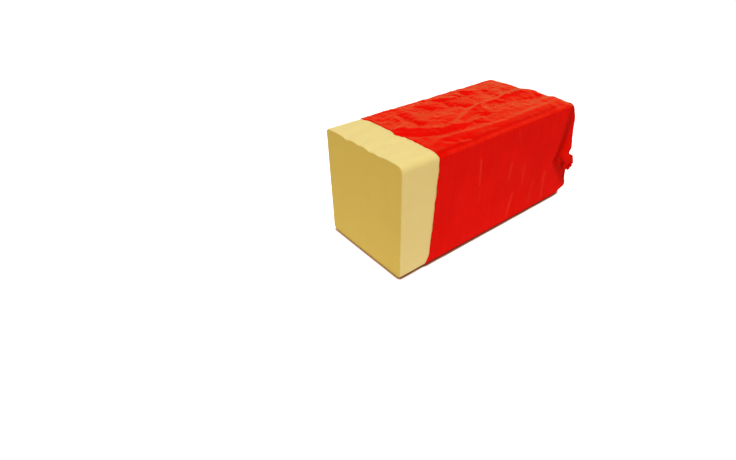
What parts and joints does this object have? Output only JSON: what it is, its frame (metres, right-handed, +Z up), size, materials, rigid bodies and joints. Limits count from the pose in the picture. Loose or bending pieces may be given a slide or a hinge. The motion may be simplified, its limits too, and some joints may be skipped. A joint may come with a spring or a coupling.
{
  "type": "cheese block",
  "caption": "Rectangular cheese loaf, cut flat at one end, in a tight glossy red film casing that is gathered and clipped at the other end.",
  "frame": {"origin": "middle of the footprint of the whole object, on the surface it lies on", "axes": "+Y along the loaf from the cut face towards the gathered end, +X to the side the gather is near, +Z up"},
  "size_m": [0.1, 0.249, 0.105],
  "materials": {
    "cheese": "satin",
    "casing_film": "gloss",
    "clip_metal": "satin"
  },
  "bodies": {
    "root": {"cheese_block": "cheese", "red_casing": "casing_film", "casing_clip": "clip_metal"}
  },
  "joints": []
}
